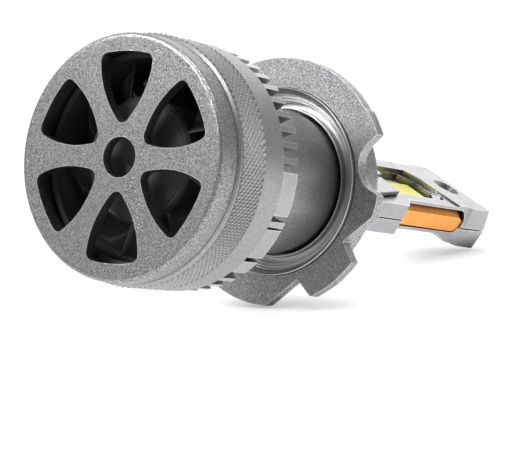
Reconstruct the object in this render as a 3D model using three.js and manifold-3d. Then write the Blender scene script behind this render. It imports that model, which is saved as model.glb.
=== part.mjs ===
// An LED headlight bulb with a fan-cooled head, a neck, a locating collar and a flat lamp arm.
// Millimetres. +Y is the bulb's axis, from the fan grille at the rear to the lamp tip, and +Z is up.
// Distances along the axis are drawn from the shoulder behind the lamp arm. The finished bulb is moved so
// that the origin is on the axis in the collar's front face, which is the plane a lamp housing seats it by.
import * as THREE from "three";
import { mergeVertices } from "three/addons/utils/BufferGeometryUtils.js";
import Module from "manifold-3d";

const wasm = await Module();
wasm.setup();

// ---- driving dimensions ----
const HEAD_R = 13.5; // outer radius of the grille cap
const REAR_Y = -31.8; // flat rear face of the grille cap
const CAP_FRONT = -28.9; // where the cap's rim meets the knurled sleeve
const SLEEVE_FRONT = -20.5;
const FIN_FRONT = -17.7;
const SLEEVE_R = 13.8;
const FIN_R = 13.6;
const FIN_ROOT_R = 10.2;
const NECK_R = 8.5;
const CORE_R = 7.5;
const COLLAR_R = 14.55;
const COLLAR_REAR = -2.2;
const SEAT_Y = -0.8; // the collar's front face
const COLLAR_BORE = 11.15;
const BOSS_R = 11.5;
const BOSS_FRONT = 1.9;
const ARM_ROLL = 30.7; // degrees, from +X down to the arm's width direction
const ARM_FRONT = 3.2; // where the round core gives way to the flat arm
const ARM_TOP = 2.65; // upper face of the arm, above the axis
const ARM_LOW = -1.4; // lower face of the arm
const TIP_TOP = 2.85; // upper face of the far rail and the tip
const TIP_LOW = -2.7;
const TIP_Y = 38.9;
const SPLIT = 0.2; // height of the joint between the two body halves, in the fins and the core
const ARM_SPLIT = 0.6; // the same along the arm
const TIP_SPLIT = -0.1; // the same in the tip, ahead of TIP_REAR
const TIP_REAR = 31;
const SEAM = 0.16; // gap between the two body halves
const LED_Y = SEAT_Y + 25; // middle of the light source
const PIPE_MID = 0.61; // height of the heat pipes' centre
const PIPE_R = 1.54;
const PIPE_END = 32.7;
const PIPE_GAP = 0.05;
const SCREW_Y = 34.5;
const TURN = 60; // segments in a full turn of the large round pieces
const GAP = 0.1; // clearance between assembled pieces

// ---- geometry helpers ----
const radians = THREE.MathUtils.degToRad;

function solid(geometry) {
  const loose = geometry.index ? geometry.toNonIndexed() : geometry.clone();
  loose.deleteAttribute("normal");
  loose.deleteAttribute("uv");
  const shared = mergeVertices(loose, 1e-4);
  return new wasm.Manifold(
    new wasm.Mesh({
      numProp: 3,
      vertProperties: new Float32Array(shared.attributes.position.array),
      triVerts: new Uint32Array(shared.index.array),
    }),
  );
}

function geometryOf(body) {
  const mesh = body.getMesh();
  return new THREE.BufferGeometry()
    .setAttribute("position", new THREE.BufferAttribute(mesh.vertProperties, 3))
    .setIndex(new THREE.BufferAttribute(mesh.triVerts, 1));
}

const join = (first, ...rest) => rest.reduce((sum, piece) => sum.add(piece), first);
const cut = (first, ...rest) => rest.reduce((left, piece) => left.subtract(piece), first);

// A solid of revolution about the bulb's axis from a closed list of [radius, y] corners.
function turned(corners, segments = TURN) {
  const area = corners.reduce((sum, [r, y], i) => {
    const [nextR, nextY] = corners[(i + 1) % corners.length];
    return sum + r * nextY - nextR * y;
  }, 0);
  const ordered = area > 0 ? corners : [...corners].reverse();
  const points = [...ordered, ordered[0]].map(([r, y]) => new THREE.Vector2(r, y));
  return solid(new THREE.LatheGeometry(points, segments));
}

// A shape drawn across the axis (x = row X, y = row Z) and extruded along it, from y0 to y1.
function prism(shape, y0, y1, curveSegments = 12) {
  const settings = { depth: y1 - y0, bevelEnabled: false, curveSegments };
  return solid(new THREE.ExtrudeGeometry(shape, settings).rotateX(Math.PI / 2).translate(0, y1, 0));
}

// A shape drawn in plan (x = width, y = along the axis) and extruded upwards, from z0 to z1.
function slab(shape, z0, z1, curveSegments = 12) {
  const settings = { depth: z1 - z0, bevelEnabled: false, curveSegments };
  return solid(new THREE.ExtrudeGeometry(shape, settings).translate(0, 0, z0));
}

// A shape drawn in side view (x = along the axis, y = up) and extruded across the width, from x0 to x1.
function sideSlab(shape, x0, x1, bevel = 0) {
  const settings = {
    depth: x1 - x0 - 2 * bevel,
    bevelEnabled: bevel > 0,
    bevelThickness: bevel,
    bevelSize: bevel,
    bevelOffset: -bevel,
    bevelSegments: 3,
    curveSegments: 12,
  };
  const toSide = new THREE.Matrix4().makeBasis(
    new THREE.Vector3(0, 1, 0),
    new THREE.Vector3(0, 0, 1),
    new THREE.Vector3(1, 0, 0),
  );
  return solid(new THREE.ExtrudeGeometry(shape, settings).applyMatrix4(toSide).translate(x0 + bevel, 0, 0));
}

const outline = (points) => new THREE.Shape(points.map(([x, y]) => new THREE.Vector2(x, y)));

function box(x0, x1, y0, y1, z0, z1) {
  const shape = new THREE.BoxGeometry(x1 - x0, y1 - y0, z1 - z0);
  return solid(shape.translate((x0 + x1) / 2, (y0 + y1) / 2, (z0 + z1) / 2));
}

// A round bar along the bulb's axis, centred at (x, z).
function bar(radius, y0, y1, x = 0, z = 0, segments = 24) {
  const shape = new THREE.CylinderGeometry(radius, radius, y1 - y0, segments);
  return solid(shape.translate(x, (y0 + y1) / 2, z));
}

// A round or tapered bar along Z, in the middle of the arm at the given distance along it.
function upright(lowR, highR, z0, z1, y, segments = 20) {
  const shape = new THREE.CylinderGeometry(highR, lowR, z1 - z0, segments);
  return solid(shape.rotateX(Math.PI / 2).translate(0, y, (z0 + z1) / 2));
}

const polar = (radius, degrees) => [radius * Math.cos(radians(degrees)), radius * Math.sin(radians(degrees))];

function arc(radius, from, to, step = 6) {
  const count = Math.max(1, Math.ceil(Math.abs(to - from) / step));
  return Array.from({ length: count + 1 }, (_, i) => polar(radius, from + ((to - from) * i) / count));
}

const turnedBy = (body, degrees) => body.rotate([0, degrees, 0]);

// ---- materials ----
function finish(color, metalness, roughness) {
  return new THREE.MeshStandardMaterial({ color, metalness, roughness });
}

const titanium = finish(0x6f6e6e, 0.8, 0.45);
const knurled = finish(0x777676, 0.8, 0.5);
const darkTitanium = finish(0x555556, 0.8, 0.5);
const aluminium = finish(0xb4b2b6, 0.9, 0.35);
const copper = finish(0xe08a3c, 0.9, 0.35);
const fanPlastic = finish(0x2a2b2d, 0, 0.6);
const phosphor = finish(0xf2e24a, 0, 0.5);
const boardWhite = finish(0xd8d8d4, 0, 0.5);
const boardGreen = finish(0x2f5d43, 0, 0.5);
const steel = finish(0x8a8078, 0.9, 0.4);
const magnetGrey = finish(0x4a4745, 0.4, 0.7);
const rubber = finish(0x1d1d1f, 0, 0.8);

const bulb = new THREE.Group();
const armFrame = new THREE.Group(); // x = the arm's width, z = the LED faces' normal
armFrame.rotation.y = radians(ARM_ROLL);
bulb.add(armFrame);

function place(name, body, material, parent = bulb) {
  const mesh = new THREE.Mesh(geometryOf(body), material);
  mesh.name = name;
  parent.add(mesh);
}

// ---- rear cap with its six petal openings ----
const PETALS = 6;
const PETAL_TURN = 87.5;
const PLATE = 1.4;

function petalShape() {
  const shape = new THREE.Shape();
  shape.moveTo(4.05, -0.75);
  shape.quadraticCurveTo(3.3, 0, 4.05, 0.75);
  shape.quadraticCurveTo(6.9, 3.25, 10.3, 3.5);
  shape.quadraticCurveTo(11.15, 3.5, 11.25, 2.55);
  shape.quadraticCurveTo(11.65, 0, 11.25, -2.55);
  shape.quadraticCurveTo(11.15, -3.5, 10.3, -3.5);
  shape.quadraticCurveTo(6.9, -3.25, 4.05, -0.75);
  return shape;
}

function grilleCap() {
  const cup = turned([
    [0, REAR_Y],
    [HEAD_R - 0.5, REAR_Y],
    [HEAD_R - 0.15, REAR_Y + 0.15],
    [HEAD_R, REAR_Y + 0.6],
    [HEAD_R, CAP_FRONT],
    [12.7, CAP_FRONT],
    [12.7, -26.5],
    [11.9, -26.5],
    [11.9, REAR_Y + PLATE],
    [0, REAR_Y + PLATE],
  ]);
  const petal = prism(petalShape(), REAR_Y - 1, REAR_Y + PLATE + 1, 5);
  const petals = Array.from({ length: PETALS }, (_, i) => {
    return turnedBy(petal, -(PETAL_TURN + (i * 360) / PETALS));
  });
  return cut(cup, ...petals, bar(2.2, REAR_Y - 1, REAR_Y + PLATE + 1));
}

place("grille_cap", grilleCap(), titanium);

// ---- knurled sleeve round the fan, and the cable gland in its side ----
const GLAND_Y = -22.4;
const GLAND_R = 1.5;

function radialBar(radius, from, to, y) {
  const shape = new THREE.CylinderGeometry(radius, radius, to - from, 20);
  return solid(shape.rotateZ(Math.PI / 2).translate(-(from + to) / 2, y, 0));
}

function knurledSleeve() {
  const tube = turned([
    [12.85, CAP_FRONT],
    [SLEEVE_R - 0.25, CAP_FRONT],
    [SLEEVE_R, CAP_FRONT + 0.25],
    [SLEEVE_R, SLEEVE_FRONT - 0.2],
    [SLEEVE_R - 0.2, SLEEVE_FRONT],
    [12.85, SLEEVE_FRONT],
  ]);
  return cut(tube, radialBar(GLAND_R + GAP, 12, 15, GLAND_Y));
}

function cableGland() {
  const stem = radialBar(GLAND_R, 12.85, 14.1, GLAND_Y);
  const lip = radialBar(GLAND_R + 0.4, 14.1, 14.5, GLAND_Y);
  return cut(join(stem, lip), radialBar(0.9, 12, 15, GLAND_Y));
}

place("knurled_sleeve", knurledSleeve(), knurled);
place("cable_gland", cableGland(), rubber);

// ---- fan: frame, circuit board, bearing, stator, and the impeller that turns ----
const FRAME_FRONT = SLEEVE_FRONT - GAP;
const BASE_REAR = FRAME_FRONT - 1;
const FRAME_BORE = 11.1;
const STRUTS = 4;
const SCREWS = 3;
const FAN_SCREW_R = 0.35;
const FAN_SCREW_CIRCLE = 11.9;
const FAN_SCREW_HEAD_R = 0.6;
const BLADE_TIP_R = 10.6;
const HUB_R = 7;
const HUB_REAR = -28.8;
const BLADES = 9;

const fanScrewPlaces = Array.from({ length: SCREWS }, (_, i) => {
  return polar(FAN_SCREW_CIRCLE, 45 + (i * 360) / SCREWS);
});

function fanFrame() {
  const ring = turned([
    [FRAME_BORE, CAP_FRONT],
    [11.75, CAP_FRONT],
    [11.75, -26.35],
    [12.7, -26.35],
    [12.7, FRAME_FRONT],
    [FRAME_BORE, FRAME_FRONT],
  ]);
  const strut = box(0, FRAME_BORE + 0.3, BASE_REAR, FRAME_FRONT, -0.7, 0.7);
  const struts = Array.from({ length: STRUTS }, (_, i) => turnedBy(strut, (i * 360) / STRUTS));
  const base = bar(5.6, BASE_REAR, FRAME_FRONT, 0, 0, 32);
  const holes = fanScrewPlaces.map(([x, z]) => bar(FAN_SCREW_R + GAP, -27, FRAME_FRONT + 1, x, z, 12));
  const heads = fanScrewPlaces.map(([x, z]) => bar(FAN_SCREW_HEAD_R + GAP, -27, -25.5, x, z, 12));
  return cut(join(ring, ...struts, base), ...holes, ...heads);
}

function impeller() {
  const hub = turned(
    [
      [0, HUB_REAR],
      [3.4, HUB_REAR + 0.05],
      [6.1, HUB_REAR + 0.3],
      [6.8, HUB_REAR + 0.7],
      [HUB_R, HUB_REAR + 1.2],
      [HUB_R, -24.2],
      [6.3, -24.2],
      [6.3, HUB_REAR + 1.5],
      [0.85, HUB_REAR + 1.5],
      [0.85, HUB_REAR + 0.9],
      [0, HUB_REAR + 0.9],
    ],
    48,
  );
  const section = new THREE.Shape();
  section.moveTo(-1.9, -28.2);
  section.quadraticCurveTo(0.7, -27.2, 1.7, -24.2);
  section.lineTo(1.2, -24.1);
  section.quadraticCurveTo(0.1, -26.7, -2.0, -27.6);
  const depth = BLADE_TIP_R - (HUB_R - 0.3);
  const turnOut = new THREE.Matrix4().makeBasis(
    new THREE.Vector3(0, 0, -1),
    new THREE.Vector3(0, 1, 0),
    new THREE.Vector3(1, 0, 0),
  );
  const plate = new THREE.ExtrudeGeometry(section, { depth, bevelEnabled: false, curveSegments: 4 });
  const blade = solid(plate.applyMatrix4(turnOut).translate(HUB_R - 0.3, 0, 0));
  const blades = Array.from({ length: BLADES }, (_, i) => turnedBy(blade, (i * 360) / BLADES));
  return join(hub, ...blades);
}

function stator() {
  const core = bar(2.7, -26.9, -24.0, 0, 0, 24);
  const arm = box(2, 4.7, -26.6, -24.3, -0.8, 0.8);
  const shoe = box(4.3, 5.0, -26.6, -24.3, -2.2, 2.2);
  const poles = [0, 90, 180, 270].map((degrees) => turnedBy(join(arm, shoe), degrees));
  const round = bar(5.1, -27, -24, 0, 0, 48);
  return cut(join(core, ...poles).intersect(round), bar(1.9, -28, -23));
}

const tube = (inner, outer, y0, y1, segments) =>
  turned(
    [
      [inner, y0],
      [outer, y0],
      [outer, y1],
      [inner, y1],
    ],
    segments,
  );

place("fan_frame", fanFrame(), fanPlastic);
place("fan_circuit_board", tube(2.1, 5.4, BASE_REAR - 0.8, BASE_REAR - GAP, 32), boardGreen);
place("fan_bearing", tube(0.85, 1.8, -26.8, BASE_REAR - GAP, 20), steel);
place("fan_stator", stator(), steel);
place("fan_impeller", impeller(), fanPlastic);
place("fan_magnet", tube(5.3, 6.2, -27.1, -24.4, 36), magnetGrey);
place("fan_shaft", bar(0.75, HUB_REAR + 1, BASE_REAR - 0.3, 0, 0, 20), steel);
fanScrewPlaces.forEach(([x, z], i) => {
  const shank = bar(FAN_SCREW_R, -25.7, -18.6, x, z, 12);
  const head = bar(FAN_SCREW_HEAD_R, -26.3, -25.6, x, z, 12);
  place(`fan_screw_${i + 1}`, join(shank, head), steel);
});

// ---- the two aluminium body halves: half the fins, half the core and half the lamp arm ----
const CHAMBER_W = 2.6; // half the width of the chamber for the driver board
const CHAMBER_FRONT = 1.5;
const PIPE_IN = 3.55; // the heat pipes' inner and outer sides, from the arm's middle
const PIPE_OUT = 5.33;
const PIPE_REAR = -15;
const POCKET_W = 3.1; // half the width of the pockets for the LED boards

// Degrees of each fin's tip, from the split line on one side to the split line on the other.
function finTips() {
  const narrow = Array.from({ length: 16 }, (_, i) => [31.5 + 7.5 * i, 34.3 + 7.5 * i]);
  return [[0, 4.1], [7.1, 27.5], ...narrow, [152.5, 160.8], [163.5, 180]];
}

function finShape() {
  const tips = finTips();
  const points = tips.flatMap(([from, to], i) => {
    const rim = arc(FIN_R, from, to);
    const next = tips[i + 1];
    return next ? [...rim, polar(FIN_ROOT_R, to), polar(FIN_ROOT_R, next[0])] : rim;
  });
  return outline(points);
}

// The arm in plan: shoulder, rails and tip block.
function armPlan() {
  const side = [
    [7.4, ARM_FRONT - 0.3],
    [7.4, 15.35],
    [5.45, 18.2],
    [5.35, 32.4],
    [5.7, 33.1],
    [5.55, 37.4],
    [5.3, TIP_Y + 1],
  ];
  return outline([...side, ...side.map(([x, y]) => [-x, y]).reverse()]);
}

const upperSide = outline([
  [ARM_FRONT - 0.3, -0.3],
  [TIP_Y, -0.3],
  [TIP_Y, TIP_SPLIT],
  [37.4, TIP_TOP],
  [ARM_FRONT - 0.3, TIP_TOP],
]);

const lowerSide = outline([
  [ARM_FRONT - 0.3, 1],
  [TIP_Y, 1],
  [TIP_Y, TIP_SPLIT],
  [38.1, TIP_LOW],
  [34, -2.6],
  [30.9, -2.35],
  [28.3, ARM_LOW],
  [ARM_FRONT - 0.3, ARM_LOW],
]);

// A straight slot in side view with a round end towards the tip.
function pipeSide(radius, rear, end) {
  const shape = new THREE.Shape();
  shape.moveTo(rear, PIPE_MID - radius);
  shape.lineTo(end - radius, PIPE_MID - radius);
  shape.absarc(end - radius, PIPE_MID, radius, -Math.PI / 2, Math.PI / 2, false);
  shape.lineTo(rear, PIPE_MID + radius);
  return shape;
}

function windowPlan(half, rear, front, taper) {
  return outline([
    [-half, rear],
    [half, rear],
    [half, front - taper],
    [half - taper, front],
    [taper - half, front],
    [-half, front - taper],
  ]);
}

// The window above the light source, and the upper face of the arm, which ends in a step at the tip.
const WINDOW_PLAN = outline([
  [-3.3, 14],
  [3.95, 14],
  [3.95, 28.4],
  [2.65, 29.7],
  [-1.2, 29.7],
  [-3.3, 28.5],
]);
const STEP_PLAN = outline([
  [-8, 2],
  [8, 2],
  [8, 30.5],
  [1.4, 29.8],
  [-1.2, 29.7],
  [-3.3, 28.5],
  [-3.3, 18.6],
  [-8, 18.6],
]);

function bodyBlank(side) {
  const arm = sideSlab(side, -9, 9).intersect(slab(armPlan(), -4, 4));
  const core = bar(CORE_R, FIN_FRONT - 1, ARM_FRONT, 0, 0, 40);
  const chamber = box(-CHAMBER_W, CHAMBER_W, SLEEVE_FRONT - 1, CHAMBER_FRONT, -3, 3.4);
  const slotSide = pipeSide(PIPE_R + PIPE_GAP, PIPE_REAR - 0.2, PIPE_END + PIPE_GAP);
  const slot = sideSlab(slotSide, PIPE_IN - GAP, 5.75);
  const otherSlot = slot.mirror([1, 0, 0]);
  return { solidPart: join(core, arm), hollows: [chamber, slot, otherSlot] };
}

// The space above the joint between the halves, raised by the given amount.
function aboveSplit(raised) {
  const top = 20;
  const core = box(-20, 20, SLEEVE_FRONT - 1, ARM_FRONT, SPLIT + raised, top);
  const arm = box(-20, 20, ARM_FRONT, TIP_REAR, ARM_SPLIT + raised, top);
  const tip = box(-20, 20, TIP_REAR, TIP_Y + 2, TIP_SPLIT + raised, top);
  return join(core, arm, tip);
}

const fanScrewHoles = (body) => {
  const places = fanScrewPlaces.map(([x, z]) => bar(FAN_SCREW_R + GAP, -23, -18.4, x, z, 12));
  return cut(body, ...places.map((hole) => turnedBy(hole, -ARM_ROLL)));
};

function upperBody() {
  const { solidPart, hollows } = bodyBlank(upperSide);
  const fins = prism(finShape(), SLEEVE_FRONT, FIN_FRONT);
  const window = slab(WINDOW_PLAN, 2.25, 4);
  const step = slab(STEP_PLAN, ARM_TOP, 4);
  const pocket = slab(windowPlan(POCKET_W, 15, 28.9, 1.6), 0, 3);
  const screw = [upright(0.9, 0.9, -1, 3, SCREW_Y), upright(1.1, 1.9, 1.3, 2.9, SCREW_Y)];
  const arm = cut(solidPart, ...hollows, window, step, pocket, ...screw);
  return fanScrewHoles(join(arm, cut(fins, hollows[0])).intersect(aboveSplit(SEAM / 2)));
}

function lowerBody() {
  const { solidPart, hollows } = bodyBlank(lowerSide);
  const fins = turnedBy(prism(finShape(), SLEEVE_FRONT, FIN_FRONT), 180);
  const pocket = slab(windowPlan(POCKET_W, 17, 28.9, 1.6), -3, -0.6);
  const screw = upright(0.9, 0.9, -2, 1, SCREW_Y);
  const whole = cut(join(solidPart, fins), ...hollows, pocket, screw);
  return fanScrewHoles(whole.subtract(aboveSplit(-SEAM / 2)));
}

place("upper_body_half", upperBody(), aluminium, armFrame);
place("lower_body_half", lowerBody(), aluminium, armFrame);

// ---- what the two halves hold ----
const heatPipe = sideSlab(pipeSide(PIPE_R, PIPE_REAR, PIPE_END), PIPE_IN, PIPE_OUT, 0.5);
place("heat_pipe_right", heatPipe, copper, armFrame);
place("heat_pipe_left", heatPipe.mirror([1, 0, 0]), copper, armFrame);

const LED_LENGTH = 8;
const LED_W = 1.75;
const ledBoard = (rear, low, high) => slab(windowPlan(POCKET_W - GAP, rear, 28.8, 1.6), low, high);
const led = (low, high) => box(-LED_W, LED_W, LED_Y - LED_LENGTH / 2, LED_Y + LED_LENGTH / 2, low, high);
place("upper_led_board", ledBoard(15.1, 0.62, 1.32), boardWhite, armFrame);
place("upper_led", led(1.33, 1.62), phosphor, armFrame);
place("lower_led_board", ledBoard(17.1, -1.25, -0.65), boardWhite, armFrame);
place("lower_led", led(-1.55, -1.26), phosphor, armFrame);

// The light shields: plates on the shoulder whose prongs reach over the window's rear end.
const shieldPlan = outline([
  [6.5, 8.5],
  [4.8, 16.1],
  [1.3, 16.4],
  [2.2, 13.8],
  [0.9, 13.8],
  [0.3, 18],
  [-0.9, 18.4],
  [-4.8, 16.1],
  [-6.5, 8.5],
]);
place("upper_light_shield", slab(shieldPlan, ARM_TOP + 0.05, ARM_TOP + 0.65), aluminium, armFrame);
place("lower_light_shield", slab(shieldPlan, ARM_LOW - 0.65, ARM_LOW - 0.05), aluminium, armFrame);

function tipScrew() {
  const shank = upright(0.8, 0.8, -1.9, 1.6, SCREW_Y);
  const head = upright(0.95, 1.65, 1.5, 2.35, SCREW_Y);
  const socket = solid(new THREE.CylinderGeometry(0.7, 0.7, 1.2, 6).rotateX(Math.PI / 2));
  return cut(join(shank, head), socket.translate([0, SCREW_Y, 2.4]));
}

place("tip_screw", tipScrew(), steel, armFrame);

place("driver_board", box(-2.4, 2.4, -20.2, 1, -0.3, 0.4), boardGreen, armFrame);
place("driver_inductor", box(-1.9, 1.9, -19, -15.2, 0.5, 3.1), magnetGrey, armFrame);
place("driver_capacitor", bar(1.2, -13.5, -8.5, 0, 1.75, 20), steel, armFrame);
place("driver_chip", box(-1.5, 1.5, -6.5, -3, 0.5, 1.6), rubber, armFrame);

// ---- neck, shoulder ring and the collar that turns on it ----
const RING_REAR = -2.75;
const RING_STEP = -0.3;
const RING_FRONT = 2.75;
const GROOVE_IN = 8.7;
const CIRCLIP_REAR = BOSS_FRONT + GAP;

function shoulderRing() {
  return turned(
    [
      [CORE_R + GAP, RING_STEP + 0.4],
      [GROOVE_IN, RING_STEP + 0.4],
      [9.2, RING_STEP + 0.4],
      [9.35, -0.6],
      [9.55, -0.6],
      [9.65, -1.2],
      [9.85, -1.2],
      [9.95, -1.8],
      [10.15, -1.8],
      [10.9, RING_REAR],
      [11.0, RING_REAR + 0.1],
      [11.0, -1.4],
      [10.15, -1.4],
      [10.15, -0.5],
      [11.0, -0.5],
      [11.0, RING_STEP],
      [9.5, RING_STEP],
      [9.5, CIRCLIP_REAR - 0.05],
      [9.0, CIRCLIP_REAR - 0.05],
      [9.0, CIRCLIP_REAR + 0.55],
      [9.5, CIRCLIP_REAR + 0.55],
      [9.5, RING_FRONT],
      [CORE_R + GAP, RING_FRONT],
    ],
    48,
  );
}

function oRing() {
  const circle = Array.from({ length: 8 }, (_, i) => {
    const angle = (i * Math.PI) / 4;
    return [10.62 + 0.42 * Math.cos(angle), -0.95 + 0.42 * Math.sin(angle)];
  });
  return turned(circle, 36);
}

function circlip() {
  const hoop = tube(9.1, 10.4, CIRCLIP_REAR, CIRCLIP_REAR + 0.5, 40);
  return cut(hoop, box(6, 12, 0, 5, -1.5, 1.5));
}

place("neck_sleeve", tube(CORE_R + GAP, NECK_R, FIN_FRONT + GAP, RING_STEP + 0.3, 48), darkTitanium);
place("shoulder_ring", shoulderRing(), darkTitanium);
place("collar_o_ring", oRing(), rubber);
place("collar_circlip", circlip(), steel);

// The collar's outline, in degrees from +X towards +Z: a plain rim, a raised lug, a round locating notch,
// and a square tab between two flats.
const TAB_TURN = -54.1;
const FLAT_R = 11.35; // the flats' distance from the axis
const NOTCH_TURN = 6.6;
const NOTCH_R = 3.3;

function collarShape() {
  const onTab = (along, across) => {
    const [cx, cz] = polar(1, TAB_TURN);
    return [along * cx - across * cz, along * cz + across * cx];
  };
  const tab = [
    onTab(FLAT_R, -8.9),
    onTab(FLAT_R, -3.75),
    onTab(14.1, -3.4),
    onTab(14.45, -2.6),
    onTab(14.6, 0),
    onTab(14.45, 2.6),
    onTab(14.1, 3.4),
    onTab(FLAT_R, 3.75),
    onTab(FLAT_R, 8.4),
  ];
  const lobe = arc(14.2, -12.2, -7.4, 5);
  const notchMid = 0.854 * HEAD_R + NOTCH_R;
  const notch = Array.from({ length: 9 }, (_, i) => {
    const turn = 246 - 16.5 * i + NOTCH_TURN;
    const [cx, cz] = polar(notchMid, NOTCH_TURN);
    const [dx, dz] = polar(NOTCH_R, turn);
    return [cx + dx, cz + dz];
  });
  return outline([...tab, ...lobe, ...notch, ...arc(14.75, 20.7, 32.7), ...arc(COLLAR_R, 34, 265)]);
}

function collar() {
  const plate = prism(collarShape(), COLLAR_REAR, SEAT_Y);
  const boss = bar(BOSS_R, SEAT_Y - 0.5, BOSS_FRONT, 0, 0, TURN);
  const bores = [bar(COLLAR_BORE, COLLAR_REAR - 1, RING_STEP + GAP, 0, 0, TURN), bar(9.6, -3, 3, 0, 0, TURN)];
  return cut(join(plate, boss), ...bores);
}

place("collar", collar(), darkTitanium);

bulb.position.y = -SEAT_Y;

export default bulb;
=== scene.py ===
"""The LED headlight bulb's looks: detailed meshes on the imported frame, materials, light and camera.

Lengths are millimetres, except where a mesh, a light or the camera takes metres.
"""

import math

import bmesh
import bpy
from mathutils import Matrix, Vector

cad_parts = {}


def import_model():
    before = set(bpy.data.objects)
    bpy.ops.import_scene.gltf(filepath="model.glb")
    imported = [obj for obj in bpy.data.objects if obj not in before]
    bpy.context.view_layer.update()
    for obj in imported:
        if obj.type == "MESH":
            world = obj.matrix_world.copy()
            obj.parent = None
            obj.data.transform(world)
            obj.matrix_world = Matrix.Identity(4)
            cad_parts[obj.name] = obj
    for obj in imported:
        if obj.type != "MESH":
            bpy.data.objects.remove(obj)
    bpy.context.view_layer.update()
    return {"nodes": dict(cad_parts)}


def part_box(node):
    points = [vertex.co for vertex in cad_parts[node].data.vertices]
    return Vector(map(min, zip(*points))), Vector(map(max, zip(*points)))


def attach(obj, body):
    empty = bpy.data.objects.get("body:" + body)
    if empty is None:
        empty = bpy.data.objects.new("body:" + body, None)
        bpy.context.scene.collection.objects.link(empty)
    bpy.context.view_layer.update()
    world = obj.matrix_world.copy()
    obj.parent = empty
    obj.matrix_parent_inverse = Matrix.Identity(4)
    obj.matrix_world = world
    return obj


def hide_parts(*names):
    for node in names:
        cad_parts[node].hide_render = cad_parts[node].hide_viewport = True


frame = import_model()

MM = 0.001
ARM_ROLL = math.radians(30.7)  # from +X down to the lamp arm's width direction
ROUND = 192  # segments in a full turn of the large round pieces


# ---- places taken from the frame ----
# The outlines below give distances along the axis from the shoulder, 0.8 mm ahead of the collar's seat.
SHOULDER = Vector((0, 0.8, 0))


def span(node):
    """A node's lowest and highest corners in millimetres, drawn from the shoulder."""
    low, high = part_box(node)
    return low / MM - SHOULDER, high / MM - SHOULDER


cap_low, cap_high = span("grille_cap")
sleeve_low, sleeve_high = span("knurled_sleeve")
neck_low, neck_high = span("neck_sleeve")
ring_low, ring_high = span("shoulder_ring")
collar_low, collar_high = span("collar")
fan_low = span("fan_impeller")[0]
CAP_R = cap_high.x
REAR_Y = cap_low.y
CAP_FRONT = sleeve_low.y
SLEEVE_R = sleeve_high.x
SLEEVE_FRONT = sleeve_high.y


# ---- outlines ----
def bend(start, control, end, t):
    """The point at t, from 0 to 1, along a quadratic curve."""
    return start * (1 - t) ** 2 + control * 2 * t * (1 - t) + end * t**2


def rounded(corners, steps=5):
    """A closed outline from (x, y) or (x, y, radius) corners; a corner with a radius becomes an arc."""
    points = []
    for i, corner in enumerate(corners):
        here = Vector(corner[:2])
        if len(corner) < 3:
            points.append(here)
            continue
        back = Vector(corners[i - 1][:2]) - here
        ahead = Vector(corners[(i + 1) % len(corners)][:2]) - here
        reach = corner[2] / math.tan(back.angle(ahead) / 2)
        reach = min(reach, 0.49 * back.length, 0.49 * ahead.length)
        start = here + back.normalized() * reach
        end = here + ahead.normalized() * reach
        points += [bend(start, here, end, k / steps) for k in range(steps + 1)]
    return points


def curve(start, *pairs, steps=8):
    """Points along quadratic curves from start, each given as (control, end)."""
    points, here = [Vector(start)], Vector(start)
    for control, end in pairs:
        control, end = Vector(control), Vector(end)
        points += [bend(here, control, end, k / steps) for k in range(1, steps + 1)]
        here = end
    return points


def polar(radius, degrees):
    """The point at a radius and an angle."""
    angle = math.radians(degrees)
    return Vector((radius * math.cos(angle), radius * math.sin(angle)))


def arc(radius, first, last, step=2.0):
    """Points along a circle between two angles, no more than step degrees apart."""
    count = max(1, math.ceil(abs(last - first) / step))
    return [polar(radius, first + (last - first) * i / count) for i in range(count + 1)]


# ---- meshes ----
WELD = 1e-7  # metres; closer corners become one
FLAT_WELD = 2e-6  # the same before flat faces are joined
FLAT_WITHIN = 0.5  # degrees


def placed(name, data):
    """A new object in the scene."""
    piece = bpy.data.objects.new(name, data)
    bpy.context.scene.collection.objects.link(piece)
    return piece


def raw_mesh(name, points, faces):
    """A mesh from points in millimetres, drawn from the shoulder."""
    mesh = bpy.data.meshes.new(name)
    mesh.from_pydata([(Vector(p) + SHOULDER) * MM for p in points], [], faces)
    return mesh


def mesh_piece(name, points, faces):
    mesh = raw_mesh(name, points, faces)
    clean(mesh)
    return placed(name, mesh)


def clean(mesh):
    """Welds what meets and turns every face outward."""
    work = bmesh.new()
    work.from_mesh(mesh)
    bmesh.ops.remove_doubles(work, verts=work.verts, dist=WELD)
    bmesh.ops.recalc_face_normals(work, faces=work.faces)
    work.to_mesh(mesh)
    work.free()
    mesh.update()


def turned(name, outline, segments=ROUND):
    """A solid of revolution about the bulb's axis from a closed outline of (radius, y)."""
    points, rings = [], []
    for radius, y in outline:
        if radius == 0:
            rings.append([len(points)] * segments)
            points.append((0, y, 0))
            continue
        rings.append(range(len(points), len(points) + segments))
        for s in range(segments):
            x, z = polar(radius, 360 * s / segments)
            points.append((x, y, z))
    faces = []
    for a, b in zip(rings, rings[1:] + rings[:1]):
        for s in range(segments):
            t = (s + 1) % segments
            corners = list(dict.fromkeys([a[s], a[t], b[t], b[s]]))
            if len(corners) > 2:
                faces.append(corners)
    return mesh_piece(name, points, faces)


def extruded(name, outline, low, high, place):
    """An outline extruded between two heights; place(u, v, h) gives each point in the row frame."""
    count = len(outline)
    points = [place(u, v, low) for u, v in outline] + [place(u, v, high) for u, v in outline]
    faces = [list(range(count)), list(range(2 * count - 1, count - 1, -1))]
    faces += [[i, (i + 1) % count, count + (i + 1) % count, count + i] for i in range(count)]
    return mesh_piece(name, points, faces)


def across(u, v, h):
    """Outline across the bulb's axis (X, Z), extruded along it."""
    return (u, h, v)


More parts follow.
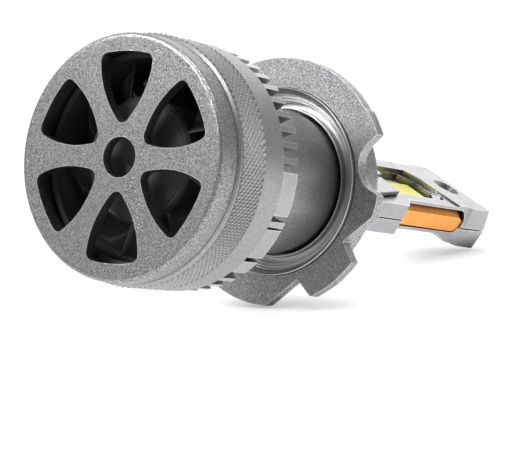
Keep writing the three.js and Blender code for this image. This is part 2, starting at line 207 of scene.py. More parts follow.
def on_arm(w, y, m):
    """A point on the lamp arm: across its width, along the axis, and up its faces' normal."""
    return (
        w * math.cos(ARM_ROLL) + m * math.sin(ARM_ROLL),
        y,
        -w * math.sin(ARM_ROLL) + m * math.cos(ARM_ROLL),
    )


def joined(name, pieces):
    """Several pieces as the shells of one."""
    work = bmesh.new()
    for piece in pieces:
        work.from_mesh(piece.data)
        bpy.data.objects.remove(piece)
    mesh = bpy.data.meshes.new(name)
    work.to_mesh(mesh)
    work.free()
    return placed(name, mesh)


def repeated(name, piece, count, turn=0.0):
    """Copies of a piece turned evenly about the bulb's axis."""
    work = bmesh.new()
    for i in range(count):
        mesh = piece.data.copy()
        angle = -math.radians(turn + 360 * i / count)
        mesh.transform(Matrix.Rotation(angle, 4, "Y"))
        work.from_mesh(mesh)
        bpy.data.meshes.remove(mesh)
    work.to_mesh(piece.data)
    work.free()
    piece.name = name
    return piece


def freeze(piece):
    """The piece's mesh becomes what its modifiers make of it."""
    graph = bpy.context.evaluated_depsgraph_get()
    mesh = bpy.data.meshes.new_from_object(piece.evaluated_get(graph))
    piece.modifiers.clear()
    piece.data = mesh
    return piece


def combine(piece, other, operation):
    """The piece after a boolean with another, which is used up."""
    modifier = piece.modifiers.new("combine", "BOOLEAN")
    modifier.operation = operation
    modifier.solver = "EXACT"
    modifier.object = other
    freeze(piece)
    bpy.data.objects.remove(other)
    return piece


def bevelled(piece, width, segments=2, above=35):
    """The piece with every edge sharper than above degrees broken by a bevel in millimetres."""
    modifier = piece.modifiers.new("bevel", "BEVEL")
    modifier.width = width * MM
    modifier.segments = segments
    modifier.limit_method = "ANGLE"
    modifier.angle_limit = math.radians(above)
    modifier.use_clamp_overlap = True
    return freeze(piece)


def flats_joined(mesh):
    """Coplanar faces of a solid join, so that flat areas shade flat."""
    work = bmesh.new()
    work.from_mesh(mesh)
    bmesh.ops.remove_doubles(work, verts=work.verts, dist=FLAT_WELD)
    flat = math.radians(FLAT_WITHIN)
    bmesh.ops.dissolve_limit(work, angle_limit=flat, verts=work.verts, edges=work.edges)
    bmesh.ops.recalc_face_normals(work, faces=work.faces)
    work.to_mesh(mesh)
    work.free()


def refined(node, width, segments=2, above=35):
    """A CAD node's solid with its edges broken by a small bevel."""
    mesh = frame["nodes"][node].data.copy()
    flats_joined(mesh)
    return bevelled(placed(node + "_finished", mesh), width, segments, above)


def finished(piece, nodes, body, material, sharp=40):
    """Shading, material, slot and body of a piece that stands for CAD nodes."""
    mesh = piece.data
    mesh.shade_smooth()
    mesh.set_sharp_from_angle(angle=math.radians(sharp))
    mesh.materials.clear()
    mesh.materials.append(material)
    normals = piece.modifiers.new("normals", "WEIGHTED_NORMAL")
    normals.keep_sharp = True
    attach(piece, body)
    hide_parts(*nodes)
    return piece


# ---- materials ----
def put(tree, socket, value):
    """Links a socket's value, or sets a constant one."""
    if isinstance(value, bpy.types.NodeSocket):
        tree.links.new(value, socket)
    else:
        socket.default_value = value


def blended(tree, share, first, second, mode="MIX"):
    """Two colours mixed in a node tree."""
    node = tree.nodes.new("ShaderNodeMix")
    node.data_type = "RGBA"
    node.blend_type = mode
    for index, value in ((0, share), (6, first), (7, second)):  # the colour mode's own sockets
        put(tree, node.inputs[index], value)
    return node.outputs[2]


class Finish:
    """A procedural material: one principled shader and the nodes that feed it."""

    def __init__(self, name, **values):
        self.material = bpy.data.materials.new(name)
        self.material.use_nodes = True
        self.tree = self.material.node_tree
        self.shader = self.tree.nodes["Principled BSDF"]
        self.coordinates = self.add("ShaderNodeTexCoord").outputs["Object"]
        for socket, value in values.items():
            self.set(socket.replace("_", " "), value)

    def set(self, socket, value):
        """A value or a link for one of the shader's inputs."""
        put(self.tree, self.shader.inputs[socket], value)

    def add(self, kind, settings=None, **values):
        """A node with its settings and its inputs' values."""
        node = self.tree.nodes.new(kind)
        for key, value in (settings or {}).items():
            setattr(node, key, value)
        for socket, value in values.items():
            put(self.tree, node.inputs[socket.replace("_", " ")], value)
        return node

    def noise(self, grain, detail=3.0, rough=0.55, stretch=(1, 1, 1)):
        """Noise whose features are about grain millimetres across."""
        mapped = self.add("ShaderNodeMapping", Vector=self.coordinates, Scale=stretch).outputs[0]
        scale = 1 / (grain * MM)
        kind = "ShaderNodeTexNoise"
        return self.add(kind, Vector=mapped, Scale=scale, Detail=detail, Roughness=rough).outputs[0]

    def cells(self, grain):
        """A random grey for each cell about grain millimetres across."""
        scale = 1 / (grain * MM)
        cells = self.add("ShaderNodeTexVoronoi", Vector=self.coordinates, Scale=scale)
        split = self.add("ShaderNodeSeparateColor", Color=cells.outputs["Color"])
        return split.outputs[0]

    def ramp(self, value, low, high, first=0.0, last=1.0):
        """The value's way from low to high, as a way from first to last."""
        limits = {"From_Min": low, "From_Max": high, "To_Min": first, "To_Max": last}
        return self.add("ShaderNodeMapRange", Value=value, **limits).outputs[0]

    def blend(self, share, first, second, mode="MIX"):
        return blended(self.tree, share, first, second, mode)

    def sum(self, first, second, weight):
        """The first plus the second times its weight."""
        node = self.add("ShaderNodeMath", {"operation": "MULTIPLY_ADD"})
        for index, value in enumerate((second, weight, first)):
            put(self.tree, node.inputs[index], value)
        return node.outputs[0]

    def edges(self, radius):
        """1 on edges sharper than the given radius in millimetres, 0 on flat faces."""
        soft = self.add("ShaderNodeBevel", {"samples": 4}, Radius=radius * MM)
        face = self.add("ShaderNodeNewGeometry")
        dot = self.add("ShaderNodeVectorMath", {"operation": "DOT_PRODUCT"})
        put(self.tree, dot.inputs[0], soft.outputs[0])
        put(self.tree, dot.inputs[1], face.outputs["Normal"])
        return self.ramp(dot.outputs["Value"], 0.99, 0.86)

    def painted_occlusion_shade(self, colour, reach, depth):
        """Painted shade: the colour, down to depth times itself in recesses narrower than reach in
        millimetres.
        """
        occlusion = self.add("ShaderNodeAmbientOcclusion", {"samples": 6}, Distance=reach * MM)
        share = self.ramp(occlusion.outputs["AO"], 0.25, 0.85, depth, 1.0)
        return self.blend(1.0, colour, share, "MULTIPLY")

    def bump(self, height, strength, depth):
        bump = self.add("ShaderNodeBump", Strength=strength, Distance=depth * MM, Height=height)
        self.set("Normal", bump.outputs[0])


def tone(red, green, blue):
    """An opaque colour."""
    return (red, green, blue, 1.0)


def scaled(colour, share):
    """The colour, darker or brighter by a share."""
    return tone(*(c * share for c in colour[:3]))


def blasted(name, base, edge_highlight, rough, grain, contrast, depth, edge=0.12):
    """Blasted, anodised metal: sparkling pits, a mottled tone, edges brightened as a painted highlight,
    and painted shade in recesses.
    """
    look = Finish(name, Metallic=1.0)
    fine = look.noise(grain, 2.0, 0.6)
    specks = look.cells(grain * 0.8)
    broad = look.noise(5.0, 2.0)
    mixed = look.sum(fine, specks, 0.4)
    spread = look.ramp(mixed, 0.42, 0.98)
    pits = look.blend(spread, scaled(base, 1 - contrast), scaled(base, 1 + contrast))
    mottle = look.blend(look.ramp(broad, 0.3, 0.7, 0.0, 0.15), pits, scaled(base, 0.85))
    # painted highlight on the edges and painted shade in recesses, both in the base colour
    shaded = look.painted_occlusion_shade(look.blend(look.edges(edge), mottle, edge_highlight), 2.0, 0.35)
    look.set("Base Color", shaded)
    look.set("Roughness", look.ramp(spread, 0.0, 1.0, rough + 0.1, rough - 0.08))
    look.bump(mixed, 0.55, depth)
    return look.material


def satin_aluminium(name, base, rough):
    """Machined, bare aluminium: long fine tool marks, soft stains, bright edges as a painted highlight,
    and painted shade in recesses.
    """
    look = Finish(name, Metallic=1.0)
    marks = look.noise(0.16, 4.0, 0.7, (1, 0.12, 1))
    stains = look.noise(2.4, 3.0)
    grain = look.noise(0.12, 2.0)
    shade = look.blend(look.ramp(marks, 0.3, 0.7), scaled(base, 0.88), scaled(base, 1.06))
    mixed = look.blend(look.ramp(stains, 0.35, 0.75, 0, 0.3), shade, scaled(base, 0.75))
    # painted highlight on the edges, then painted shade down to 0.06 in the recesses between the fins
    edge = look.blend(look.edges(0.16), mixed, tone(0.97, 0.97, 0.98))
    look.set("Base Color", look.painted_occlusion_shade(edge, 2.8, 0.06))
    look.set("Roughness", look.ramp(stains, 0.3, 0.7, rough - 0.05, rough + 0.08))
    look.bump(look.sum(marks, grain, 0.6), 0.25, 0.02)
    return look.material


def machined(name, base, rough):
    """Turned metal: fine rings round the bulb's axis."""
    look = Finish(name, Metallic=1.0)
    rings = look.add(
        "ShaderNodeTexWave",
        {"wave_type": "RINGS", "rings_direction": "Y"},
        Vector=look.coordinates,
        Scale=2600,
        Distortion=1.5,
        Detail=2.0,
    ).outputs[0]
    grain = look.noise(0.16, 3.0)
    shade = look.blend(look.ramp(rings, 0.2, 0.9), scaled(base, 0.8), scaled(base, 1.15))
    edge = look.blend(look.edges(0.06), shade, tone(0.9, 0.9, 0.9))
    look.set("Base Color", edge)
    look.set("Roughness", look.ramp(grain, 0.3, 0.7, rough - 0.06, rough + 0.08))
    look.bump(look.sum(rings, grain, 0.8), 0.35, 0.02)
    return look.material


def drawn_copper(name):
    """Bare drawn copper: lines along the pipe, darker stains, and painted shade in recesses."""
    look = Finish(name, Metallic=1.0)
    lines = look.noise(0.2, 4.0, 0.7, (1, 0.08, 1))
    grain = look.noise(0.14, 2.0)
    stains = look.noise(1.6, 3.0)
    dull, bright = tone(0.97, 0.40, 0.10), tone(1.0, 0.52, 0.17)
    shade = look.blend(look.ramp(lines, 0.3, 0.7), dull, bright)
    mixed = look.blend(look.ramp(stains, 0.4, 0.8, 0, 0.5), shade, tone(0.9, 0.33, 0.07))
    # painted shade where the pipe sits under the arm's lip
    look.set("Base Color", look.painted_occlusion_shade(mixed, 0.8, 0.3))
    look.set("Roughness", look.ramp(grain, 0.3, 0.7, 0.26, 0.42))
    look.bump(look.sum(lines, grain, 0.8), 0.3, 0.02)
    return look.material


def coated_phosphor(name):
    """The light source's yellow phosphor under clear silicone, with a faint glow."""
    look = Finish(name, Coat_Weight=0.25, Coat_Roughness=0.2, Roughness=0.55)
    fine = look.noise(0.12, 3.0)
    broad = look.noise(1.5, 2.0)
    deep, pale = tone(0.92, 0.86, 0.12), tone(1.0, 0.96, 0.28)
    shade = look.blend(look.ramp(fine, 0.3, 0.7), deep, pale)
    mixed = look.blend(look.ramp(broad, 0.4, 0.8, 0, 0.4), shade, tone(0.97, 0.95, 0.36))
    look.set("Base Color", mixed)
    look.set("Emission Color", mixed)
    look.set("Emission Strength", 0.06)
    look.bump(fine, 0.3, 0.02)
    return look.material


def moulded(name, base, rough, grain=0.16):
    """Moulded plastic or rubber: a matt, spark-eroded grain and slightly paler edges."""
    look = Finish(name, Specular_IOR_Level=0.4)
    fine = look.noise(grain, 3.0, 0.6)
    broad = look.noise(3.0, 2.0)
    shade = look.blend(look.ramp(fine, 0.35, 0.7), scaled(base, 0.75), scaled(base, 1.3))
    mixed = look.blend(look.ramp(broad, 0.4, 0.8, 0, 0.3), shade, scaled(base, 1.5))
    edge = look.blend(look.edges(0.1), mixed, scaled(base, 2.2))
    look.set("Base Color", edge)
    look.set("Roughness", look.ramp(fine, 0.3, 0.7, rough - 0.08, rough + 0.1))
    look.bump(fine, 0.4, 0.03)
    return look.material


def turned_steel(name, base, rough):
    """Plain steel: fine marks, darker stains and bright edges."""
    look = Finish(name, Metallic=1.0)
    marks = look.noise(0.1, 4.0, 0.7)
    stains = look.noise(0.8, 3.0)
    shade = look.blend(look.ramp(marks, 0.3, 0.7), scaled(base, 0.7), scaled(base, 1.25))
    mixed = look.blend(look.ramp(stains, 0.4, 0.7, 0, 0.5), shade, scaled(base, 0.6))
    edge = look.blend(look.edges(0.06), mixed, scaled(base, 1.5))
    look.set("Base Color", edge)
    look.set("Roughness", look.ramp(stains, 0.3, 0.7, rough - 0.06, rough + 0.1))
    look.bump(marks, 0.3, 0.02)
    return look.material


def solder_mask(name, base):
    """A lacquered circuit board with tracks under the lacquer."""
    look = Finish(name, Coat_Weight=0.4, Coat_Roughness=0.15)
    fine = look.noise(0.1, 3.0)
    tracks = look.noise(0.5, 1.0, 0.3, (1, 0.2, 1))
    shade = look.blend(look.ramp(tracks, 0.48, 0.52), scaled(base, 0.85), scaled(base, 1.05))
    look.set("Base Color", shade)
    look.set("Roughness", look.ramp(fine, 0.3, 0.7, 0.35, 0.5))
    look.bump(tracks, 0.3, 0.03)
    return look.material


titanium = blasted(
    "titanium_grey",
    base=tone(0.38, 0.375, 0.37),
    edge_highlight=tone(0.9, 0.9, 0.9),
    rough=0.34,
    grain=0.13,
    contrast=0.6,
    depth=0.06,
    edge=0.14,
)
knurl_grey = blasted(
    "knurled_grey",
    base=tone(0.42, 0.42, 0.42),
    edge_highlight=tone(0.6, 0.6, 0.6),
    rough=0.38,
    grain=0.12,
    contrast=0.25,
    depth=0.03,
)
collar_grey = blasted(
    "dark_titanium",
    base=tone(0.43, 0.43, 0.44),
    edge_highlight=tone(1.0, 1.0, 1.0),
    rough=0.4,
    grain=0.16,
    contrast=0.5,
    depth=0.05,
    edge=0.2,
)
neck_grey = blasted(
    "neck_titanium",
    base=tone(0.42, 0.42, 0.425),
    edge_highlight=tone(0.95, 0.95, 0.95),
    rough=0.38,
    grain=0.13,
    contrast=0.35,
    depth=0.04,
)
ring_grey = machined("ring_titanium", tone(0.68, 0.68, 0.69), 0.38)
aluminium = satin_aluminium("bare_aluminium", tone(0.48, 0.475, 0.49), 0.26)
copper = drawn_copper("copper")
phosphor = coated_phosphor("phosphor_yellow")
fan_plastic = moulded("fan_plastic", tone(0.085, 0.086, 0.09), 0.45)
rubber = moulded("black_rubber", tone(0.02, 0.02, 0.022), 0.7, 0.25)
steel = turned_steel("steel", tone(0.55, 0.53, 0.51), 0.32)
screw_steel = turned_steel("screw_steel", tone(0.2, 0.15, 0.12), 0.3)
magnet_grey = moulded("magnet_grey", tone(0.09, 0.085, 0.085), 0.6, 0.2)
led_board = solder_mask("led_board", tone(0.78, 0.78, 0.76))
circuit_board = solder_mask("circuit_board", tone(0.02, 0.13, 0.06))


# ---- rear cap with its petal openings ----
PLATE = 1.4  # thickness
CAP_MOUTH_R = 12.7  # the wider front part, back to the step
CAP_STEP_Y = -26.5
CAP_BORE_R = 11.9
PETALS = 6
PETALS_TURN = 87.5  # degrees from +X up to the first petal
CENTRE_HOLE_R = 2.2
THROUGH = 1  # how far a cutter goes past what it cuts


def grille_cap():
    """A turned cup with petals and a round hole cut through its plate."""
    inside = REAR_Y + PLATE
    outline = rounded(
        [
            (0, REAR_Y),
            (CAP_R, REAR_Y, 0.6),
            (CAP_R, CAP_FRONT, 0.12),
            (CAP_MOUTH_R, CAP_FRONT, 0.1),
            (CAP_MOUTH_R, CAP_STEP_Y),
            (CAP_BORE_R, CAP_STEP_Y),
            (CAP_BORE_R, inside, 0.4),
            (0, inside),
        ],
        steps=6,
    )
    cup = turned("grille_cap_finished", outline)
    petal = curve(
        (4.05, -0.75),
        ((3.3, 0), (4.05, 0.75)),
        ((6.9, 3.25), (10.3, 3.5)),
        ((11.15, 3.5), (11.25, 2.55)),
        ((11.65, 0), (11.25, -2.55)),
        ((11.15, -3.5), (10.3, -3.5)),
        ((6.9, -3.25), (4.05, -0.75)),
    )[:-1]
    cut = (REAR_Y - THROUGH, inside + THROUGH, across)
    petals = repeated("petals", extruded("petal", petal, *cut), PETALS, PETALS_TURN)
    combine(cup, petals, "DIFFERENCE")
    combine(cup, extruded("hole", arc(CENTRE_HOLE_R, 0, 355, 5), *cut), "DIFFERENCE")
    flats_joined(cup.data)
    return bevelled(cup, 0.1, above=50)


finished(grille_cap(), ["grille_cap"], "lamp", titanium)

# ---- knurled sleeve ----
SLEEVE_BORE_R = 12.85
DIAMONDS = 116  # round the sleeve
KNURL_ROWS = 6
KNURL_REAR = CAP_FRONT + 0.62
KNURL_FRONT = -24.3
KNURL_DEPTH = 0.13
KNURL_FLAT = 0.5  # share of each diamond that its flat top takes


def knurled_sleeve():
    """A turned tube whose knurled band is a lattice of raised diamonds."""
    columns = 2 * DIAMONDS
    land = SLEEVE_R - 0.01  # the plain band behind the knurl
    step = (KNURL_FRONT - KNURL_REAR) / (2 * KNURL_ROWS)
    root = SLEEVE_R - KNURL_DEPTH
    crest = root + KNURL_DEPTH / (1 - KNURL_FLAT)
    rows = [
        (SLEEVE_BORE_R, CAP_FRONT),
        (CAP_R, CAP_FRONT),
        (CAP_R + 0.04, CAP_FRONT + 0.03),
        (SLEEVE_R - 0.03, CAP_FRONT + 0.26),
        (land, CAP_FRONT + 0.32),
        (land, KNURL_REAR - 0.12),
    ]
    first = len(rows)
    rows += [(None, KNURL_REAR + step * i) for i in range(2 * KNURL_ROWS + 1)]
    last = len(rows) - 1
    rows += [
        (SLEEVE_R, KNURL_FRONT + 0.12),
        (SLEEVE_R, SLEEVE_FRONT - 0.3),
        (SLEEVE_R - 0.08, SLEEVE_FRONT - 0.1),
        (SLEEVE_R - 0.28, SLEEVE_FRONT),
        (SLEEVE_BORE_R, SLEEVE_FRONT),
    ]
    points, faces, peaks = [], [], []
    for i, (radius, y) in enumerate(rows):
        for s in range(columns):
            raised = (i - first + s) % 2 == 0
            level = radius if radius else (crest if raised else root)
            x, z = polar(level, 360 * s / columns)
            if radius is None and raised and first < i < last:
                peaks.append(len(points))
            points.append((x, y, z))
    for i in range(len(rows)):
        a, b = i * columns, ((i + 1) % len(rows)) * columns
        for s in range(columns):
            t = (s + 1) % columns
            quad = [a + s, a + t, b + t, b + s]
            if not first <= i < last:
                faces.append(quad)
            elif (i - first + s) % 2 == 0:  # the split runs from root to root
                faces += [[quad[0], quad[1], quad[3]], [quad[1], quad[2], quad[3]]]
            else:
                faces += [[quad[0], quad[1], quad[2]], [quad[0], quad[2], quad[3]]]
    mesh = raw_mesh("knurled_sleeve_finished", points, faces)
    work = bmesh.new()
    work.from_mesh(mesh)
    work.verts.ensure_lookup_table()
    bmesh.ops.bevel(
        work,
        geom=[work.verts[i] for i in peaks],
        offset=KNURL_FLAT * abs(step) * MM,
        segments=1,
        affect="VERTICES",
    )
    bmesh.ops.recalc_face_normals(work, faces=work.faces)
    work.to_mesh(mesh)
    work.free()
    clean(mesh)
    return placed("knurled_sleeve_finished", mesh)


sleeve = knurled_sleeve()
finished(sleeve, ["knurled_sleeve"], "lamp", knurl_grey, sharp=15)

# ---- fan ----
HUB_R = 7.0
HUB_INNER_R = 6.3
HUB_FRONT = -24.2
SHAFT_HOLE_R = 0.85
BLADES = 9
BLADE_ROOT_R = HUB_R - 0.15  # sunk into the hub
BLADE_TIP_R = 10.55
BLADE_REAR = fan_low.y + 0.75
BLADE_LENGTH = 3.75  # along the axis
BLADE_HALF = 0.24  # half the thickness where the blade is thickest
BLADE_SWEEP = 26  # degrees of turn from the rear edge to the front edge


def fan_hub():
    """The impeller's cup, with two shallow grooves in its rear face."""
    low = fan_low.y
    outline = rounded(
        [
            (0, low),
            (0.9, low),
            (1.0, low + 0.08),
            (1.15, low + 0.08),
            (1.25, low),
            (3.4, low + 0.03),
            (6.25, low + 0.25),
            (6.33, low + 0.38),
            (6.5, low + 0.38),
            (6.6, low + 0.35),
            (HUB_R, low + 0.75, 0.5),
            (HUB_R, HUB_FRONT, 0.15),
            (HUB_INNER_R, HUB_FRONT),
            (HUB_INNER_R, low + 1.5),
            (SHAFT_HOLE_R, low + 1.5),
            (SHAFT_HOLE_R, low + 0.9),
            (0, low + 0.9),
        ]
    )
    return turned("hub", outline, 128)


def fan_blade():
    """One swept blade: a curved sheet from hub to tip, thick at the root, with rounded edges."""
    along, out = 10, 6  # steps along the axis and outward
    points, faces = [], []
    for side in (-1, 1):
        for i in range(along + 1):
            t = i / along
            for j in range(out + 1):
                s = j / out
                radius = BLADE_ROOT_R + (BLADE_TIP_R - BLADE_ROOT_R) * s
                sweep = -15 + BLADE_SWEEP * t**1.4 - 7 * s
                thinning = 1 - 0.35 * s
                swell = 0.45 + 0.55 * math.sin(math.pi * min(1, 0.12 + t)) ** 0.5
                turn = math.degrees(side * BLADE_HALF * thinning * swell / radius)
                y = BLADE_REAR + 0.15 * s + (BLADE_LENGTH - 0.3 * s) * t
                x, z = polar(radius, sweep + turn)
                points.append((x, y + side * 0.08, z))
    grid = (along + 1) * (out + 1)
    for i in range(along):
        for j in range(out):
            a = i * (out + 1) + j
            quad = [a, a + 1, a + out + 2, a + out + 1]
            faces += [quad, [grid + k for k in reversed(quad)]]
    border = list(range(out + 1))
    border += [out + k * (out + 1) for k in range(1, along + 1)]
    border += [along * (out + 1) + j for j in range(out - 1, -1, -1)]
    border += [k * (out + 1) for k in range(along - 1, 0, -1)]
    for a, b in zip(border, border[1:] + border[:1]):
        faces.append([a, b, grid + b, grid + a])
    return bevelled(mesh_piece("blade", points, faces), 0.07, above=50)


def fan_impeller():
    """The hub and its blades as one moulding."""
    blades = repeated("blades", fan_blade(), BLADES)
    return joined("fan_impeller_finished", [fan_hub(), blades])


finished(fan_impeller(), ["fan_impeller"], "impeller", fan_plastic)
finished(refined("fan_frame", 0.12), ["fan_frame"], "lamp", fan_plastic)

# ---- neck and shoulder ring ----
NECK_WALL = 0.9
NECK_STEP = 0.2  # how much smaller the front end's radius is
NECK_STEP_Y = -3.0


def neck_sleeve():
    """A plain tube, a little thinner where it enters the shoulder ring."""
    outer = neck_high.x
    inner = outer - NECK_WALL
    outline = rounded(
        [
            (inner, neck_low.y),
            (outer, neck_low.y, 0.15),
            (outer, NECK_STEP_Y, 0.1),
            (outer - NECK_STEP, NECK_STEP_Y + 0.1),
            (outer - NECK_STEP, neck_high.y),
            (inner, neck_high.y),
        ]
    )
    return turned("neck_sleeve_finished", outline)


RING_BORE_R = 7.6
RING_R = 11.0
STEM_R = 9.5  # the part that the collar turns on
O_RING_GROOVE_R = 10.15
CLIP_GROOVE_R = 9.0


def shoulder_ring():
    """A turned ring: stepped rear face, groove for the rubber ring, stem and groove for the circlip."""
    front = ring_high.y
    outline = rounded(
        [
            (RING_BORE_R, 0.1),
            (8.56, 0.1),
            (8.6, -1.5, 0.05),
            (8.78, -1.5, 0.05),
            (8.84, -0.6),
            (9.4, -0.6),
            (9.5, -1.45, 0.05),
            (9.62, -1.48, 0.04),
            (9.68, -1.32),
            (9.76, -1.36),
            (9.84, -1.6, 0.04),
            (9.94, -1.62, 0.04),
            (10.0, -1.48),
            (10.08, -1.52),
            (10.18, -1.78, 0.04),
            (10.3, -1.82, 0.06),
            (10.92, ring_low.y, 0.1),
            (RING_R, ring_low.y + 0.1, 0.04),
            (RING_R, -1.4),
            (O_RING_GROOVE_R, -1.4),
            (O_RING_GROOVE_R, -0.5),
            (RING_R, -0.5),
            (RING_R, -0.3),
            (STEM_R, -0.3),
            (STEM_R, 1.95),
            (CLIP_GROOVE_R, 1.95),
            (CLIP_GROOVE_R, 2.55),
            (STEM_R, 2.55),
            (STEM_R, front, 0.1),
            (RING_BORE_R, front),
        ],
        steps=3,
    )
    return turned("shoulder_ring_finished", outline)


finished(neck_sleeve(), ["neck_sleeve"], "lamp", neck_grey)
finished(shoulder_ring(), ["shoulder_ring"], "lamp", ring_grey)

# ---- collar ----
TAB_TURN = -54.1  # degrees from +X toward +Z, as all turns of the collar
FLAT_R = 11.35  # to the flats beside the tab
NOTCH_TURN = 6.6
NOTCH_R = 3.3
NOTCH_FLOOR_R = 0.854 * 13.5  # from the axis to the notch's floor
COLLAR_R = 14.55
BOSS_R = 11.5
RING_SEAT_R = 11.08  # clears the shoulder ring
COLLAR_BORE_R = 9.6


def collar_outline():
    """The plate's rim: a square tab between two flats, a lobe, a round notch, then a plain circle."""
    along, side = polar(1, TAB_TURN), polar(1, TAB_TURN + 90)
    tab = [
        along * u + side * v
        for u, v in rounded(
            [
                (0, -8.9),
                (FLAT_R, -8.9),
                (FLAT_R, -3.75, 0.25),
                (14.1, -3.4, 0.4),
                (14.6, 0, 12),
                (14.1, 3.4, 0.4),
                (FLAT_R, 3.75, 0.25),
                (FLAT_R, 8.4),
                (0, 8.4),
            ]
        )[1:-1]
    ]
    lobe = arc(14.2, -12.2, -7.4)
    middle = polar(NOTCH_FLOOR_R + NOTCH_R, NOTCH_TURN)
    notch = [middle + polar(NOTCH_R, 246 - 5.5 * i + NOTCH_TURN) for i in range(25)]
    return tab + lobe + notch + arc(14.75, 20.7, 32.7) + arc(COLLAR_R, 34, 265)


def collar():
    """The plate and its front boss, with broken edges, bored for the shoulder ring and its stem."""
    seat = -SHOULDER.y
    plate = extruded("collar_finished", collar_outline(), collar_low.y, seat, across)
    rear, front = seat - 0.5, collar_high.y  # the boss starts inside the plate
    boss = turned("boss", [(0, rear), (BOSS_R, rear), (BOSS_R, front), (0, front)])
    combine(plate, boss, "UNION")
    first, step, last = -3, -0.2, 3
    bore = [
        (0, first),
        (RING_SEAT_R, first),
        (RING_SEAT_R, step),
        (COLLAR_BORE_R, step),
        (COLLAR_BORE_R, last),
        (0, last),
    ]
    return combine(bevelled(plate, 0.16, 3), turned("bore", bore), "DIFFERENCE")


finished(collar(), ["collar"], "collar", collar_grey)
finished(refined("collar_o_ring", 0.05, 1, 60), ["collar_o_ring"], "lamp", rubber)
finished(refined("collar_circlip", 0.06), ["collar_circlip"], "lamp", steel)

# ---- body halves and what they hold ----
for half in ("upper_body_half", "lower_body_half"):
    finished(refined(half, 0.14, 2, 30), [half], "lamp", aluminium)
for shield in ("upper_light_shield", "lower_light_shield"):
    finished(refined(shield, 0.08), [shield], "lamp", aluminium)


PIPE_R = 1.54  # half its height, and the nose's radius
PIPE_IN, PIPE_OUT = 3.55, 5.33  # its inner and outer face, across the arm
PIPE_REAR, PIPE_END = -15.0, 32.7
PIPE_MIDDLE = 0.61  # how far its middle is above the bulb's axis
NOSE_STEP = 6  # degrees


def heat_pipe(side):
    """A flattened pipe with a rounded nose, its outer face rolled in along the top."""
    radius, end = PIPE_R, PIPE_END
    section = rounded(
        [
            (PIPE_IN, -radius, 0.5),
            (PIPE_OUT, -radius, 0.2),
            (PIPE_OUT, 0.45, 0.5),
            (4.6, 1.35, 0.4),
            (4.3, radius, 0.3),
            (PIPE_IN, radius, 0.5),
        ]
    )
    stations = [(PIPE_REAR, 1.0)]  # along the axis, with the share of the full height there
    for k in range(0, 90, NOSE_STEP):
        nose = math.radians(k)
        stations.append((end - radius + radius * math.sin(nose), math.cos(nose)))
    stations.append((end, 0.03))
    count, points, faces = len(section), [], []
    for y, share in stations:
        points += [on_arm(side * w, y, PIPE_MIDDLE + m * share) for w, m in section]
    for a in range(0, count * (len(stations) - 1), count):
        for i in range(count):
            j = (i + 1) % count
            faces.append([a + i, a + j, a + count + j, a + count + i])
    last = count * (len(stations) - 1)
    faces += [list(range(count)), list(range(last, last + count))]
    return mesh_piece("pipe", points, faces)


for side, node in ((1, "heat_pipe_right"), (-1, "heat_pipe_left")):
    piece = heat_pipe(side)
    piece.name = node + "_finished"
    finished(piece, [node], "lamp", copper)

for node in ("upper_led_board", "lower_led_board"):
    finished(refined(node, 0.05), [node], "lamp", led_board)
for node in ("upper_led", "lower_led"):
    finished(refined(node, 0.1, 3), [node], "lamp", phosphor)
finished(refined("tip_screw", 0.08), ["tip_screw"], "lamp", screw_steel)
finished(refined("cable_gland", 0.15, 3), ["cable_gland"], "lamp", rubber)

# ---- pieces shown as the frame has them ----
CARRIED = {
    "fan_circuit_board": circuit_board,
    "fan_bearing": steel,
    "fan_stator": steel,
    "fan_magnet": magnet_grey,
    "fan_shaft": steel,
    "fan_screw_1": steel,
    "fan_screw_2": steel,
    "fan_screw_3": steel,
    "driver_board": circuit_board,
    "driver_inductor": magnet_grey,
    "driver_capacitor": steel,
    "driver_chip": rubber,
}
for node, material in CARRIED.items():
    mesh = frame["nodes"][node].data
    mesh.materials.clear()
    mesh.materials.append(material)


# ---- floor ----
FLOOR_NORMAL = Vector((0.03, -0.235, 0.971)).normalized()
FLOOR_R = 120.0
FLOOR_GAP = 0.02  # under the lowest point
FLOOR_GLOW = 0.8
FADE_FROM = 60.0
FADE_TO = 0.95 * FLOOR_R


def floor():
    """A pale round floor under the collar's rim and the lamp tip, with a painted contact shadow, fading
    out at its edge.
    """
    corners = [v.co for node in frame["nodes"].values() for v in node.data.vertices]
    height = min(FLOOR_NORMAL.dot(co) for co in corners)
    work = bmesh.new()
    bmesh.ops.create_grid(work, x_segments=48, y_segments=48, size=FLOOR_R * MM)
    mesh = bpy.data.meshes.new("floor")
    work.to_mesh(mesh)
    work.free()
    piece = placed("floor", mesh)
    piece.rotation_mode = "QUATERNION"
    piece.rotation_quaternion = FLOOR_NORMAL.to_track_quat("Z", "Y")
    piece.location = FLOOR_NORMAL * (height - FLOOR_GAP * MM)
    look = Finish("floor", Roughness=0.9, Specular_IOR_Level=0.1)
    cloud = look.noise(30, 2.0)
    dull, bright = tone(0.93, 0.93, 0.93), tone(0.96, 0.96, 0.96)
    shade = look.blend(look.ramp(cloud, 0.3, 0.7), dull, bright)
    look.set("Base Color", look.blend(1.0, shade, tone(0.3, 0.3, 0.3), "MULTIPLY"))
    # painted contact shadow: the floor's glow darkens near the bulb
    look.set("Emission Color", look.painted_occlusion_shade(shade, 6.5, 0.5))
    look.set("Emission Strength", FLOOR_GLOW)
    distance = look.add("ShaderNodeVectorMath", {"operation": "LENGTH"}, Vector=look.coordinates)
    fade = look.ramp(distance.outputs["Value"], FADE_FROM * MM, FADE_TO * MM, 1.0, 0.0)
    look.set("Alpha", fade)
    mesh.materials.append(look.material)


floor()


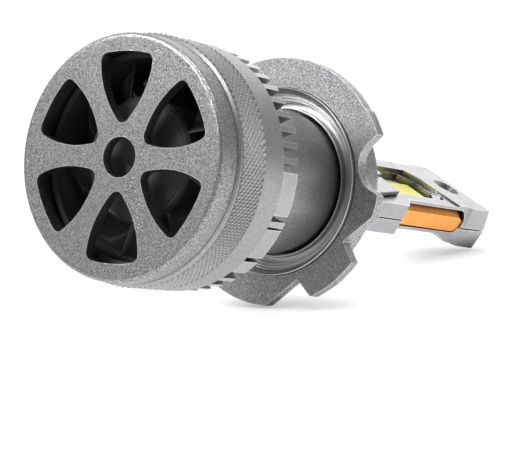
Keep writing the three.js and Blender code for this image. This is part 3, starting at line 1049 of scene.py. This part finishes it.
# ---- light ----
# Stops of (share, level): the studio's brightness where a direction has that share of an axis.
SKY = [(-1.0, 1.0), (-0.1, 0.9), (0.05, 0.55), (0.25, 0.6), (0.5, 0.95), (1.0, 0.9)]  # Z
LENGTHWISE = [(-1.0, 0.45), (-0.6, 0.45), (0.0, 0.85), (0.7, 1.4)]  # Y, rear to lamp end
SIDEWAYS = [(-1.0, 1.0), (0.0, 0.95), (0.2, 0.3), (0.5, 0.4), (1.0, 0.7)]  # X, above ground
GROUND = [(-0.03, 0.0), (0.1, 1.0)]  # Z: how far the sideways levels count


def world():
    """White where the camera looks past the object, and a soft studio for all that is lit."""
    world = bpy.data.worlds.new("studio")
    bpy.context.scene.world = world
    world.use_nodes = True
    tree = world.node_tree
    direction = tree.nodes.new("ShaderNodeTexCoord").outputs["Generated"]
    split = tree.nodes.new("ShaderNodeSeparateXYZ")
    tree.links.new(direction, split.inputs[0])

    def levels(source, stops):
        """A grey for each value of the source, from its stops."""
        place = tree.nodes.new("ShaderNodeMapRange")
        tree.links.new(source, place.inputs["Value"])
        place.inputs["From Min"].default_value = -1.0
        ramp = tree.nodes.new("ShaderNodeValToRGB")
        tree.links.new(place.outputs[0], ramp.inputs[0])
        elements = ramp.color_ramp.elements
        while len(elements) < len(stops):
            elements.new(0.5)
        for element, (position, level) in zip(elements, stops):
            element.position = (position + 1) / 2
            element.color = (level, level, level, 1)
        return ramp.outputs[0]

    height = split.outputs["Z"]
    lengthwise = levels(split.outputs["Y"], LENGTHWISE)
    studio = blended(tree, 1.0, levels(height, SKY), lengthwise, "MULTIPLY")
    sideways = levels(split.outputs["X"], SIDEWAYS)
    studio = blended(tree, levels(height, GROUND), studio, sideways, "MULTIPLY")
    seen = tree.nodes.new("ShaderNodeLightPath").outputs["Is Camera Ray"]
    colour = blended(tree, seen, studio, tone(1, 1, 1))
    tree.links.new(colour, tree.nodes["Background"].inputs["Color"])


def softbox(name, place, target, width, height, radiance):
    """An area light that faces the target and shines with the given radiance."""
    data = bpy.data.lights.new(name, "AREA")
    data.shape = "RECTANGLE"
    data.size, data.size_y = width * MM, height * MM
    data.energy = radiance * math.pi * data.size * data.size_y
    lamp = placed(name, data)
    lamp.location = Vector(place) * MM
    aim = (Vector(target) - Vector(place)).normalized()
    lamp.rotation_mode = "QUATERNION"
    lamp.rotation_quaternion = aim.to_track_quat("-Z", "Y")


NECK = (0, -10, 0)  # what both softboxes face

world()
softbox("key", (-140, -320, 195), NECK, width=190, height=130, radiance=9.0)
softbox("top", (110, -150, 310), NECK, width=200, height=150, radiance=4.5)


# ---- camera ----
CAMERA_AT = Vector((164.7, -240.8, -23.0))
CAMERA_AIM = Vector((-0.5697, 0.8198, 0.0589))
CAMERA_UP = Vector((0, -0.0717, 0.9974))


def camera():
    """The photo's view: a long lens a little below the bulb, behind it and to its right."""
    data = bpy.data.cameras.new("camera")
    data.sensor_fit = "HORIZONTAL"
    data.sensor_width = 36
    data.lens = 172.1
    data.clip_start = 0.01
    forward = CAMERA_AIM.normalized()
    right = forward.cross(CAMERA_UP).normalized()
    turn = Matrix((right, right.cross(forward), -forward)).transposed()
    piece = placed("camera", data)
    piece.matrix_world = Matrix.Translation(CAMERA_AT * MM) @ turn.to_4x4()
    bpy.context.scene.camera = piece


camera()
bpy.context.scene.view_settings.view_transform = "Standard"
bpy.context.scene.view_settings.look = "Medium High Contrast"
